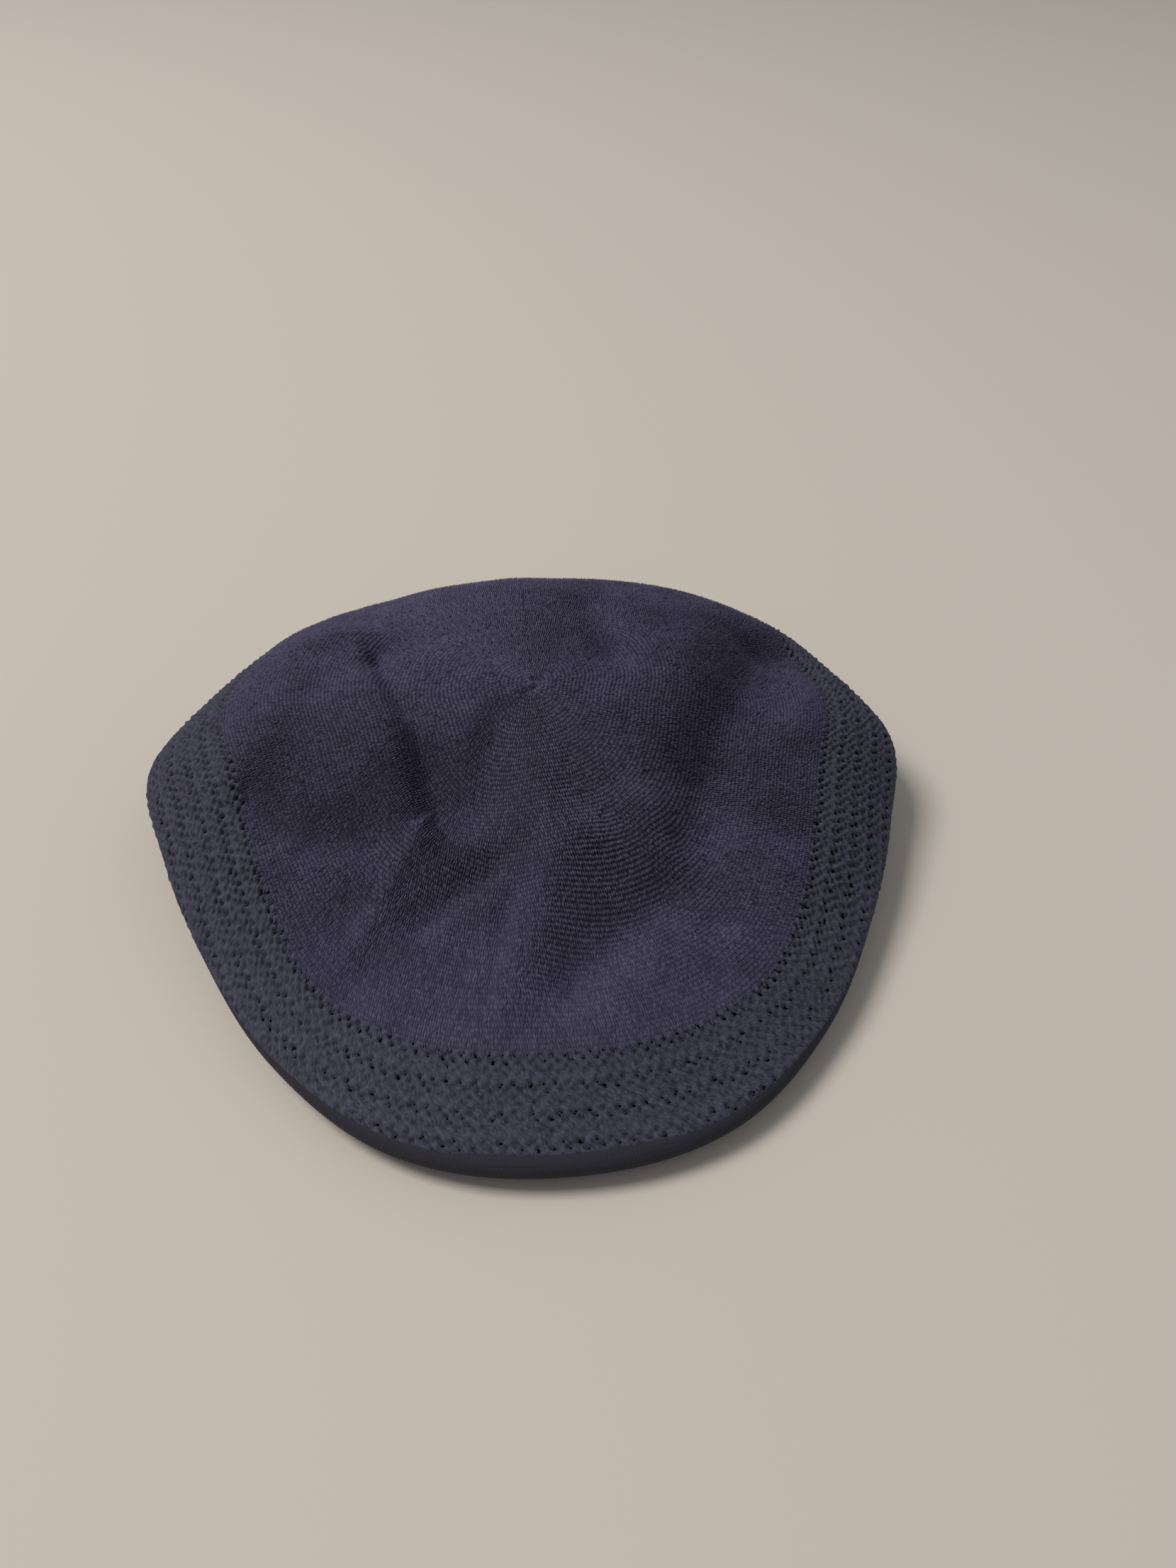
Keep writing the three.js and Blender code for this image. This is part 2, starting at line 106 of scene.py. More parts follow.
UNDULATIONS = ((24.0, 0.9, 3), (11.0, 0.4, 4))   # breadth, height and seed of the knit's unevenness

# Knit sizes in millimetres, measured on the photograph at the cap's scale
STITCH_PITCH = 0.78     # plain knit, from one stitch to the next around the cap
COURSES = 80            # rounds of plain stitches from the rosette to the openwork
STITCH_HEIGHT = 0.75
STITCH_LIFT = 0.25      # of the stitches over the sheet beneath them
STITCH_LENGTHS = (1.35, 1.75)   # least and most, as shares of the distance between rounds
STITCH_WIDTHS = (0.92, 1.25)    # as shares of the distance to the next stitch
STITCH_RISES = (0.6, 1.2)       # as shares of STITCH_HEIGHT
STITCH_TONES = (0.5, 1.05)
STITCH_LEAN = (0.16, 0.14)      # mean and spread in radians
STITCH_STRAY = (0.10, 0.08)     # spread from its even place, around and away, in stitches and rounds
STITCH_EDGE_PAINTED_SHADE = 0.85     # how much darker a stitch is painted at its edges, where it stands out fully: painted shade between stitches
STITCH_DROPPED = 0.03   # share of the stitches that lie too deep to be seen
SEAM_DROPPED = 0.5      # the same share along the back seam
SEAM_HALF_WIDTH = 0.4
OVERLAP = 2             # rounds of plain stitches that run on over the openwork
OVERLAP_TONE = 0.75
OVERLAP_DROPPED = 0.3   # further share dropped for each round past the start of the openwork
MOTTLE = (7.0, 0.13, 6)         # breadth in mm, depth and seed of the yarn's soft change of tone
FRONT_SHADED_TONE = 0.5        # tone of a stitch that doesn't stand out at all, as a share of one that does fully: painted shade towards the front
FRONT_SMOOTHED = (30, 95, 0.6)  # mm ahead where the stitches begin and end to flatten, and how much they do
LEFT_BACK_SHADE_AREA = (25, 80, -25, 25)   # mm to the left, then mm back, over which the yarn is painted darker
LEFT_BACK_PAINTED_SHADE = 0.20    # how much darker it is painted there: painted shade
STRANDS = 24            # long stitches that are drawn together at the rosette
STRAND_REACHES = (1.8, 4.2)
STRAND_LENGTH = 1.7     # as a share of the reach
STRAND_WIDTHS = (0.35, 0.6)
STRAND_RISES = (0.3, 0.7)
STRAND_TONES = (0.3, 1.3)
PINCH_DEPTH = 1.3
PINCH_REACH = 3.2
VENT_COLUMNS = 192      # vent holes in one round
VENT_PITCH = 8.2        # from one round of vent holes to the next
VENT_SLANT = 0.018      # columns that the vent holes drift sideways in each millimetre
LIP_START = 8.0         # degrees from the front where the smooth edge of the peak begins to narrow
LIP_NARROWING = 0.45    # how far round the roll that edge has drawn back at the ends of the peak

# Divisions of the plain sheets, around and away
CROWN_SHEET = (144, 40)
CROWN_LINING = (90, 20)
VENT_LINING = (120, 12)
LIP_SHEET = (300, 12)
UNDER_SHEET = (200, 10)
BAND_COLUMNS = 160
BAND_TOP_TURNS = (0, 45, 90, 135, 180, 181)   # degrees round the band's section, at its upper edge
BAND_FOOT_TURNS = (225, 270, 315, 359.9)      # and at its foot
GROUND_PAINTED_SHADE = (0.08, 0.5)      # tone of the sheet under the plain stitches, painted dark as the shade between them, and its rise where they are flat
ROSETTE_SHADE = (0.005, 0.05)  # parts of the crown between which that sheet brightens from black at the rosette: painted shade at the rosette
# Tone of the knit's inner faces, painted dark as the shade inside the cap
LINING_PAINTED_SHADE = 0.30


def all_round(count):
    return np.arange(count) * 360 / count


def wrap(bearing):
    return (np.asarray(bearing, float) + 180.0) % 360.0 - 180.0


def section_values(bearing):
    """The table's columns at any bearing: a smooth curve through its rows, mirrored left to right."""
    angle = np.abs(wrap(bearing))
    knots = np.concatenate([[-SECTIONS[1, 0]], SECTIONS[:, 0], [360 - SECTIONS[-2, 0]]])
    values = np.concatenate([SECTIONS[1:2, 1:], SECTIONS[:, 1:], SECTIONS[-2:-1, 1:]])
    i = np.clip(np.searchsorted(knots, angle, side="right") - 1, 1, len(knots) - 3)
    b0, b1, b2, b3 = (knots[i + k] for k in (-1, 0, 1, 2))
    v0, v1, v2, v3 = (values[i + k] for k in (-1, 0, 1, 2))
    s = ((angle - b1) / (b2 - b1))[..., None]
    m1 = (v2 - v0) * ((b2 - b1) / (b2 - b0))[..., None]
    m2 = (v3 - v1) * ((b2 - b1) / (b3 - b1))[..., None]
    found = ((2 * s**3 - 3 * s**2 + 1) * v1 + (s**3 - 2 * s**2 + s) * m1
             + (3 * s**2 - 2 * s**3) * v2 + (s**3 - s**2) * m2)
    return {name: found[..., k] for k, name in enumerate(SECTION_COLUMNS[1:])}


def ellipse(bearing, along, across):
    a = np.radians(bearing)
    return 1 / np.hypot(np.cos(a) / along, np.sin(a) / across)


def section_shape(bearing):
    """The four points of the top's curve, then the rolled rim and where the underside ends."""
    v = section_values(bearing)
    ahead = np.cos(np.radians(bearing)) > 0
    quarter = np.where(np.sin(np.radians(bearing)) > 0, BACK_QUARTERS[1], BACK_QUARTERS[0])
    skew = np.where(ahead, 1, 1 + quarter * np.sin(np.radians(2 * bearing)) ** 2)
    reach = skew * v["reach"] * ellipse(bearing, np.where(ahead, FRONT_REACH, BACK_REACH), HALF_WIDTH)
    rim = v["rim"] * RIM_RISE
    roll = v["roll"] * EDGE_ROLL
    p = [(0 * reach, CROWN_RISE + 0 * reach),
         (v["near_out"] * reach, v["near_up"] * CROWN_RISE),
         (v["far_out"] * reach, rim + (CROWN_RISE - rim) * v["far_up"]),
         (reach, rim)]
    heading = np.arctan2(rim - p[2][1], reach - p[2][0])
    centre = (reach + roll * np.sin(heading), rim - roll * np.cos(heading))
    along, across = (width / 2 + BAND_WALL + SEAM_GAP for width in (OPENING_LENGTH, OPENING_WIDTH))
    end = (ellipse(bearing, along, across), FOOT_RISE + 0 * reach)
    start = heading + np.pi / 2
    dx, dz = end[0] - centre[0], end[1] - centre[1]
    finish = np.arctan2(dz, dx) + np.arccos(np.clip(roll / np.hypot(dx, dz), -1, 1))
    finish = np.where(finish > start, finish - 2 * np.pi, finish)
    return p, centre, roll, start, finish, end


def section_point(bearing, share):
    """(out, up) of one section: 0 to 1 is the top, 1 to 2 the rolled rim, 2 to 3 the underside."""
    bearing, share = np.broadcast_arrays(np.asarray(bearing, float), np.asarray(share, float))
    p, centre, roll, start, finish, end = section_shape(bearing)
    t = np.clip(share, 0, 1)
    q = 1 - t
    weights = (q**3, 3 * q * q * t, 3 * q * t * t, t**3)
    top = [sum(w * point[k] for w, point in zip(weights, p)) for k in (0, 1)]
    turn = start + (finish - start) * np.clip(share - 1, 0, 1)
    rolled = [centre[0] + roll * np.cos(turn), centre[1] + roll * np.sin(turn)]
    u = np.clip(share - 2, 0, None)
    under = [rolled[k] + (end[k] - rolled[k]) * u for k in (0, 1)]
    return [np.where(share <= 1, top[k], np.where(share <= 2, rolled[k], under[k])) for k in (0, 1)]


def outermost(bearing):
    shape = section_shape(np.array(float(bearing)))
    return float(shape[1][0] + shape[2])


ROSETTE_BACK = (outermost(0) - outermost(180)) / 2


def value_noise(x, y, scale, seed):
    """Smooth noise from -1 to 1 on plan positions."""
    grid = np.random.default_rng(seed).uniform(-1, 1, (64, 64))
    u, v = x / scale + 32, y / scale + 32
    i, j = np.floor(u).astype(int), np.floor(v).astype(int)
    fu, fv = u - i, v - j
    fu, fv = fu * fu * (3 - 2 * fu), fv * fv * (3 - 2 * fv)
    near = grid[i % 64, j % 64] * (1 - fu) + grid[(i + 1) % 64, j % 64] * fu
    far = grid[i % 64, (j + 1) % 64] * (1 - fu) + grid[(i + 1) % 64, (j + 1) % 64] * fu
    return near * (1 - fv) + far * fv


def fold_lift(x, y):
    """How far the folds lift the crown at a place in plan."""
    lift = np.zeros_like(x)
    for _, side, ahead, left, right, height in FOLDS:
        px = [share * HALF_WIDTH for share in side]
        py = [-share * FRONT_REACH for share in ahead]
        nearest = np.full_like(x, 1e9)
        towards = np.zeros_like(x)
        for k in (0, 1):
            ux, uy = px[k + 1] - px[k], py[k + 1] - py[k]
            along = np.clip(((x - px[k]) * ux + (y - py[k]) * uy) / (ux * ux + uy * uy), 0, 1)
            dx, dy = x - px[k] - along * ux, y - py[k] - along * uy
            distance = np.hypot(dx, dy)
            closer = distance < nearest
            towards = np.where(closer, ux * dy - uy * dx, towards)
            nearest = np.where(closer, distance, nearest)
        on_right = towards / (nearest * HALF_WIDTH + 1)
        spread = (left + (right - left) * np.clip(0.5 + on_right * SIDE_BLEND, 0, 1)) * CROWN_RISE
        lift += height * CROWN_RISE * np.exp(-((nearest / spread) ** 2))
    for breadth, height, seed in UNDULATIONS:
        lift += height * value_noise(x, y, breadth, seed)
    return lift - PINCH_DEPTH * np.exp(-(x * x + y * y) / PINCH_REACH**2)


def surface_point(bearing, share):
    """Points of the cap's outer surface, in millimetres in the row frame."""
    out, up = section_point(bearing, share)
    a = np.radians(np.broadcast_to(bearing, out.shape))
    x, y = out * np.sin(a), -out * np.cos(a)
    fade = np.clip((FOLD_FADE[1] - share) / (FOLD_FADE[1] - FOLD_FADE[0]), 0, 1)
    return np.stack([x, y + ROSETTE_BACK, up + fold_lift(x, y) * fade], -1)


def unit(v):
    return v / np.maximum(np.linalg.norm(v, axis=-1, keepdims=True), 1e-12)


def surface_frame(bearing, share):
    """Point, direction away from the rosette, direction around and outward normal."""
    bearing, share = np.broadcast_arrays(np.asarray(bearing, float), np.asarray(share, float))
    step, turn = 0.004, 0.35
    s = np.maximum(share, 2 * step)
    along = unit(surface_point(bearing, s + step) - surface_point(bearing, s - step))
    around = surface_point(bearing + turn, s) - surface_point(bearing - turn, s)
    normal = unit(np.cross(along, around))
    return surface_point(bearing, share), along, unit(np.cross(normal, along)), normal


# Bearings at which lengths along and around the surface are measured
GRID_BEARINGS = np.linspace(0, 360, 721)


class Zone:
    """A ring of the cap between two shares of its sections, addressed by bearing and by length in mm."""

    STEPS = 80
    SAMPLES = 96

    def __init__(self, start, finish):
        first, last = start(GRID_BEARINGS), finish(GRID_BEARINGS)
        t = np.linspace(0, 1, self.SAMPLES + 1)
        shares = first[:, None] + (last - first)[:, None] * t
        out, up = section_point(GRID_BEARINGS[:, None], shares)
        walked = np.cumsum(np.hypot(np.diff(out, axis=1), np.diff(up, axis=1)), axis=1)
        walked = np.concatenate([np.zeros((len(GRID_BEARINGS), 1)), walked], axis=1)
        self.lengths = walked[:, -1]
        targets = np.linspace(0, 1, self.STEPS + 1)
        self.table = np.stack([np.interp(targets * w[-1], w, s) for w, s in zip(walked, shares)])

    def length(self, bearing):
        """From the zone's start to its end, at any bearing."""
        return np.interp(np.asarray(bearing, float) % 360, GRID_BEARINGS, self.lengths)

    def share(self, bearing, part):
        """The section share at a part, 0 to 1, of the zone's length."""
        b = (np.asarray(bearing, float) % 360) / 360 * (len(GRID_BEARINGS) - 1)
        d = np.clip(part, 0, 1) * self.STEPS
        i = np.minimum(b.astype(int), len(GRID_BEARINGS) - 2)
        j = np.minimum(d.astype(int), self.STEPS - 1)
        fb, fd = b - i, d - j
        t = self.table
        near = t[i, j] * (1 - fb) + t[i + 1, j] * fb
        far = t[i, j + 1] * (1 - fb) + t[i + 1, j + 1] * fb
        return near * (1 - fd) + far * fd

    def walk_around(self, part):
        """Length walked around the cap up to each grid bearing, at one part of the zone."""
        points = surface_point(GRID_BEARINGS, self.share(GRID_BEARINGS % 360, part))
        steps = np.linalg.norm(np.diff(points, axis=0), axis=1)
        return np.concatenate([[0], np.cumsum(steps)])


def share_after(bearing, share, length):
    step = 0.005
    before, after = section_point(bearing, share - step), section_point(bearing, share + step)
    return share + length * 2 * step / np.hypot(after[0] - before[0], after[1] - before[1])


def smoothstep(x, low, high):
    t = np.clip((x - low) / (high - low), 0, 1)
    return t * t * (3 - 2 * t)


def vent_start(bearing):
    return section_values(bearing)["vent"]


def vent_end(bearing):
    """Where the openwork gives way to the smooth edge of the peak, or ends behind the roll elsewhere."""
    angle = np.abs(wrap(bearing))
    narrowed = LIP_NARROWING * smoothstep(angle, LIP_START, PEAK_HALF_ANGLE)
    ended = smoothstep(angle, PEAK_HALF_ANGLE - LIP_TAPER / 2, PEAK_HALF_ANGLE + LIP_TAPER)
    lip_top = share_after(bearing, 0.995 + 0 * angle, -LIP_WIDTH)
    return lip_top + (2 - lip_top) * (narrowed + (1 - narrowed) * ended)


crown_zone = Zone(lambda b: 0 * b, vent_start)
vent_zone = Zone(vent_start, vent_end)
lip_zone = Zone(vent_end, lambda b: 2.0 + 0 * b)
under_zone = Zone(lambda b: 2.0 + 0 * b, lambda b: 3.0 + 0 * b)


def make_mesh(name, points, faces, smooth=True, tone=None):
    """A mesh object from points in millimetres and triangles. tone is kept as an attribute of each point."""
    mesh = bpy.data.meshes.new(name)
    points = np.asarray(points, float).reshape(-1, 3) * MM
    faces = np.asarray(faces, np.int64)
    mesh.vertices.add(len(points))
    mesh.vertices.foreach_set("co", points.ravel())
    mesh.loops.add(faces.size)
    mesh.loops.foreach_set("vertex_index", faces.ravel())
    mesh.polygons.add(len(faces))
    mesh.polygons.foreach_set("loop_start", np.arange(len(faces)) * faces.shape[1])
    mesh.update(calc_edges=True)
    mesh.validate()
    mesh.polygons.foreach_set("use_smooth", np.full(len(mesh.polygons), smooth))
    if tone is not None:
        layer = mesh.attributes.new("tone", "FLOAT", "POINT")
        layer.data.foreach_set("value", np.asarray(tone, np.float32).ravel())
    obj = bpy.data.objects.new(name, mesh)
    bpy.context.scene.collection.objects.link(obj)
    return obj


def grid_faces(rows, columns, closed):
    i, j = np.meshgrid(np.arange(rows - 1), np.arange(columns if closed else columns - 1), indexing="ij")
    i, j = i.ravel(), j.ravel()
    k = (j + 1) % columns
    a, b, c, d = i * columns + j, (i + 1) * columns + j, (i + 1) * columns + k, i * columns + k
    return np.stack([np.stack([a, b, c], 1), np.stack([a, c, d], 1)], 1).reshape(-1, 3)


def join(*parts):
    """Several (points, faces, tones) as one."""
    points, faces, tones, start = [], [], [], 0
    for part_points, part_faces, part_tones in parts:
        part_points = part_points.reshape(-1, 3)
        points.append(part_points)
        faces.append(part_faces + start)
        tones.append(np.broadcast_to(part_tones, len(part_points)))
        start += len(part_points)
    return np.concatenate(points), np.concatenate(faces), np.concatenate(tones)


# The points of one stitch: its middle, then four around it
STITCH_TURNS = np.radians((0, 90, 180, 270))
STITCH_ALONG = np.concatenate([[0], np.cos(STITCH_TURNS)])
STITCH_ACROSS = np.concatenate([[0], np.sin(STITCH_TURNS)])
STITCH_RISE = np.array([1.0, -0.3, -0.6, -0.3, -0.6])
# The four edge points are painted darker than the middle: painted shade between stitches
STITCH_SHADED_POINTS = np.array([0, 1, 1, 1, 1])
STITCH_FACES = np.array([(0, 1 + k, 1 + (k + 1) % 4) for k in range(4)])


def stitches(bearing, share, length, width, height, lean, lift, tone, painted_shade=0.0):
    """Small raised stitches, each a rounded patch lying along its own direction.

    length, width, height and lift are in mm, and lean in radians from the line away from the rosette.
    painted_shade is how much darker a stitch is painted at its edges, as painted shade between stitches.
    """
    point, along, around, normal = surface_frame(bearing, share)
    c, s = np.cos(lean)[:, None], np.sin(lean)[:, None]
    lengthwise = (along * c + around * s) * (length / 2)[:, None]
    crosswise = (around * c - along * s) * (width / 2)[:, None]
    points = (point[:, None, :]
              + lengthwise[:, None, :] * STITCH_ALONG[None, :, None]
              + crosswise[:, None, :] * STITCH_ACROSS[None, :, None]
              + normal[:, None, :] * (STITCH_RISE[None, :, None] * height[:, None, None] + lift))
    faces = (STITCH_FACES[None] + (np.arange(len(point)) * len(STITCH_RISE))[:, None, None]).reshape(-1, 3)
    tones = tone[:, None] * (1 - np.broadcast_to(painted_shade, tone.shape)[:, None] * STITCH_SHADED_POINTS)
    return points.reshape(-1, 3), faces, tones.ravel()


def relief(bearing, share):
    """How far the stitches stand out: fully at the top and back, less where the front is stretched smooth."""
    point = surface_point(bearing, share)
    begin, end, flattened = FRONT_SMOOTHED
    return 1 - flattened * smoothstep(-point[..., 1], begin, end)


def ring_grid(zone, bearings, parts, lift=0.0, closed=True):
    b, d = np.meshgrid(bearings, parts)
    point, _, _, normal = surface_frame(b, zone.share(b, d))
    return point + normal * lift, grid_faces(len(parts), len(bearings), closed)


# Plain knit: staggered rounds of small stitches from the rosette to the openwork and just over its start
def plain_stitches():
    rounds = []
    for course in range(1, COURSES + OVERLAP):
        part = min((course + 0.5) / COURSES, 1)
        past = max(course + 0.5 - COURSES, 0)
        walked = crown_zone.walk_around(part)
        count = max(int(round(walked[-1] / STITCH_PITCH)), STRANDS)
        even = np.arange(count) + 0.5 * (course % 2)
        at = (even + rng.normal(0, STITCH_STRAY[0], count)) / count * walked[-1]
        bearing = np.interp(at % walked[-1], walked, GRID_BEARINGS)
        spacing = crown_zone.length(bearing) / COURSES
        share = crown_zone.share(bearing, part + rng.normal(0, STITCH_STRAY[1], count) / COURSES)
        share = np.where(past > 0, share_after(bearing, share, past * spacing), share)
        rows = np.stack([
            bearing,
            share,
            spacing * rng.uniform(*STITCH_LENGTHS, count),
            walked[-1] / count * rng.uniform(*STITCH_WIDTHS, count),
            rng.normal(*STITCH_LEAN, count),
            rng.uniform(*STITCH_TONES, count) * (OVERLAP_TONE if past else 1),
            rng.uniform(*STITCH_RISES, count)], 1)
        from_seam = np.abs(np.radians(wrap(bearing - 180))) * part * crown_zone.length(180)
        dropped = np.where(from_seam < SEAM_HALF_WIDTH, SEAM_DROPPED, STITCH_DROPPED) + OVERLAP_DROPPED * past
        rounds.append(rows[rng.uniform(0, 1, count) > dropped])
    bearing, share, length, width, lean, tone, rise = np.concatenate(rounds).T
    point = surface_point(bearing, share)
    breadth, depth, seed = MOTTLE
    tone = tone * (1 + depth * value_noise(point[:, 0], point[:, 1], breadth, seed))
    stand = relief(bearing, share)
    # Painted shade over the crown's left back
    left_back_shade = smoothstep(-point[:, 0], *LEFT_BACK_SHADE_AREA[:2]) * smoothstep(point[:, 1], *LEFT_BACK_SHADE_AREA[2:])
    # Stitches that stand out less, towards the front, are painted darker: painted shade
    tone = tone * (FRONT_SHADED_TONE + (1 - FRONT_SHADED_TONE) * stand) * (1 - LEFT_BACK_PAINTED_SHADE * left_back_shade)
    # The stitches' edges are painted darker where they stand out: painted shade between them
    return stitches(bearing, share, length, width, STITCH_HEIGHT * rise * stand, lean, STITCH_LIFT, tone,
                    STITCH_EDGE_PAINTED_SHADE * stand**1.5)


def rosette_strands():
    """Long stitches drawn together at the middle of the crown."""
    bearing = (np.arange(STRANDS) + rng.uniform(-0.3, 0.3, STRANDS)) * 360 / STRANDS
    reach = rng.uniform(*STRAND_REACHES, STRANDS)
    share = crown_zone.share(bearing, reach / crown_zone.length(bearing))
    width = rng.uniform(*STRAND_WIDTHS, STRANDS)
    height = rng.uniform(*STRAND_RISES, STRANDS)
    lean = rng.normal(0, 0.2, STRANDS)
    # The strands' edges are painted half as dark: painted shade between them
    return stitches(bearing, share, STRAND_LENGTH * reach, width, height, lean, 0.3,
                    rng.uniform(*STRAND_TONES, STRANDS), 0.5)


def build_crown():
    bearings = all_round(CROWN_SHEET[0])
    parts = np.linspace(0.002, 1, CROWN_SHEET[1])
    outside, outside_faces = ring_grid(crown_zone, bearings, parts)
    # The sheet beneath the stitches is painted dark as shade between them, less dark where they are flat
    smoothed = 1 - relief(bearings, crown_zone.share(bearings, parts[:, None]))
    ground_painted_shade = smoothstep(parts, *ROSETTE_SHADE)[:, None] * (GROUND_PAINTED_SHADE[0] + GROUND_PAINTED_SHADE[1] * smoothed)
    columns, rows = CROWN_LINING
    inside, inside_faces = ring_grid(crown_zone, all_round(columns), np.linspace(0.004, 1, rows), -KNIT_WALL)
    points, faces, tones = join(
        (outside, outside_faces, ground_painted_shade.ravel()),
        (inside, inside_faces[:, ::-1], LINING_PAINTED_SHADE),
        plain_stitches(),
        rosette_strands())
    return make_mesh("crown_knit", points, faces, tone=tones)


# Openwork: a finely divided sheet of soft bumps and pits, open at the middle of the deepest pits
VENT_RADIUS = 125.0   # mean radius in mm, at which the width of one repeat is taken
VENT_COLUMN = 2 * math.pi * VENT_RADIUS / VENT_COLUMNS
VENT_ACROSS = 8       # divisions of the sheet in one repeat, around
VENT_ALONG = 14       # divisions of the sheet in one repeat, away from the rosette
# In one repeat: place around and away, half length, half width (all mm), lean in degrees and height in mm
VENT_FORMS = (
    (1.30, 1.40, 1.25, 0.62, -40, -1.65),
    (2.75, 3.15, 0.85, 0.75, 0, -1.55),
    (0.60, 5.20, 0.75, 0.60, 30, -0.90),
    (2.60, 6.50, 0.75, 0.60, -30, -0.90),
    (3.10, 0.90, 1.20, 0.65, -40, 0.65),
    (1.00, 3.40, 0.90, 0.70, 20, 0.55),
    (2.90, 4.90, 0.80, 0.60, -30, 0.45),
    (1.00, 7.10, 0.90, 0.60, 30, 0.50),
)
VENT_OPEN_BELOW = -1.2        # the sheet is open where the pits are deeper than this, in mm
VENT_UNEVEN = ((1.5, 0.26, 13), (0.8, 0.36, 14))   # breadth, height and seed of the yarn's unevenness
VENT_DRIFT = (4.5, 0.40)      # breadth and size in mm of the bumps' and pits' drift from even places
VENT_DRIFT_SEEDS = (11, 12)
VENT_FADED = (0.8, 5.0)       # share of their height past the first round, and mm in which it is reached
VENT_LIFT = 0.35              # mm that the sheet stands over the frame's wall
VENT_HEM = 0.8                # mm over which the sheet rises from its two ends
VENT_CLOSED_FROM = 1.05       # no openings past this share of a section
ROLL_FLATTENED = (0.85, 1.1, 0.6)     # shares between which bumps flatten over the roll, and how much
VENT_TONE_AND_PIT_SHADE = (0.62, 0.42)      # tone of the sheet at its even height, and its change for each mm: painted shade in the pits, painted highlight on the bumps
VENT_SPECKLE = 0.32           # random change of tone from point to point
VENT_FIBRES = (0.985, 0.7)    # the points past this share are bright fibre ends, and how much brighter


def vent_place(column, walked):
    """Bearing and section share of a place in the openwork: columns around, millimetres from its start."""
    bearing = 180 + (column + VENT_SLANT * walked) * 360 / VENT_COLUMNS
    return bearing, vent_zone.share(bearing, walked / vent_zone.length(bearing))


def vent_relief(x, y):
    """Height of the openwork's bumps and pits, in mm, at places around and away in mm."""
    breadth, size = VENT_DRIFT
    x_drifted = x + size * value_noise(x, y, breadth, VENT_DRIFT_SEEDS[0])
    y_drifted = y + size * value_noise(x, y, breadth, VENT_DRIFT_SEEDS[1])
    height = sum(rise * value_noise(x, y, wide, seed) for wide, rise, seed in VENT_UNEVEN)
    faded, within = VENT_FADED
    strength = faded + (1 - faded) * np.exp(-((y / within) ** 2))
    for around, away, long, wide, lean, rise in VENT_FORMS:
        dx = (x_drifted - around + VENT_COLUMN / 2) % VENT_COLUMN - VENT_COLUMN / 2
        dy = (y_drifted - away + VENT_PITCH / 2) % VENT_PITCH - VENT_PITCH / 2
        c, s = math.cos(math.radians(lean)), math.sin(math.radians(lean))
        shape = np.exp(-((dx * c + dy * s) / long) ** 2 - ((dy * c - dx * s) / wide) ** 2)
        height += rise * strength * shape
    return height


def vent_sheet():
    pitch = VENT_PITCH / VENT_ALONG
    columns = VENT_COLUMNS * VENT_ACROSS
    rows = int(np.ceil(vent_zone.lengths.max() / pitch))
    i, j = np.meshgrid(np.arange(rows + 1), np.arange(columns), indexing="ij")
    limit = vent_zone.length(vent_place(j / VENT_ACROSS, i * pitch)[0])
    walked = np.minimum(i * pitch, limit)
    bearing, share = vent_place(j / VENT_ACROSS, walked)
    height = vent_relief(j * VENT_COLUMN / VENT_ACROSS, walked)
    ends = smoothstep(walked, 0, VENT_HEM) * smoothstep(limit - walked, 0, VENT_HEM)
    point, _, _, normal = surface_frame(bearing, share)
    begin, end, flattened = ROLL_FLATTENED
    stand = relief(bearing, share) * (1 - flattened * smoothstep(share, begin, end))
    point += normal * (ends * (VENT_LIFT + height * stand))[..., None]
    over = i * pitch >= limit
    gone = (over | ((height * ends < VENT_OPEN_BELOW) & (share < VENT_CLOSED_FROM)))[:-1]
    faces = grid_faces(rows + 1, columns, True)[~np.repeat(gone.ravel(), 2)]
    speckle = rng.uniform(-VENT_SPECKLE, VENT_SPECKLE, height.shape)
    speckle += VENT_FIBRES[1] * (rng.uniform(0, 1, height.shape) > VENT_FIBRES[0])
    # Deeper places are painted darker and higher ones lighter: painted shade and highlight
    tone = np.clip(VENT_TONE_AND_PIT_SHADE[0] + VENT_TONE_AND_PIT_SHADE[1] * height + speckle, 0, 1.6)
    return point, faces, tone.ravel()


def build_vent():
    columns, rows = VENT_LINING
    inside, inside_faces = ring_grid(vent_zone, all_round(columns), np.linspace(0, 1, rows), -KNIT_WALL)
    points, faces, tones = join(vent_sheet(), (inside, inside_faces[:, ::-1], LINING_PAINTED_SHADE))
    return make_mesh("vent_knit", points, faces, tone=tones)


def small_stitches(zone, low, high, rows, pitch, length, height, tone):
    """Even rows of small flat stitches over a zone, between two bearings. tone is the darkest of them."""
    row_lists = []
    for row in range(rows):
        part = (row + 0.5) / rows
        walked = zone.walk_around(part)
        span = np.interp([low % 360, high % 360], GRID_BEARINGS, walked)
        distance = (span[1] - span[0]) % walked[-1]
        count = int(distance / pitch)
        at = (span[0] + (np.arange(count) + 0.5 * (row % 2)) / count * distance) % walked[-1]
        bearing = np.interp(at, walked, GRID_BEARINGS)
        row_lists.append(np.stack([bearing, np.full(count, part)], 1))
    bearing, part = np.concatenate(row_lists).T
    gap = zone.length(bearing) / rows
    keep = gap > 0.25 * length
    bearing, part, gap = bearing[keep], part[keep], gap[keep]
    count = len(bearing)
    lengths = np.minimum(gap, length) * rng.uniform(0.95, 1.2, count)
    widths = pitch * rng.uniform(0.9, 1.15, count)
    heights = height * rng.uniform(0.7, 1.3, count)
    leans = rng.normal(0, 0.12, count)
    return stitches(bearing, zone.share(bearing, part), lengths, widths, heights, leans, 0.05,
                    rng.uniform(tone, 1, count))


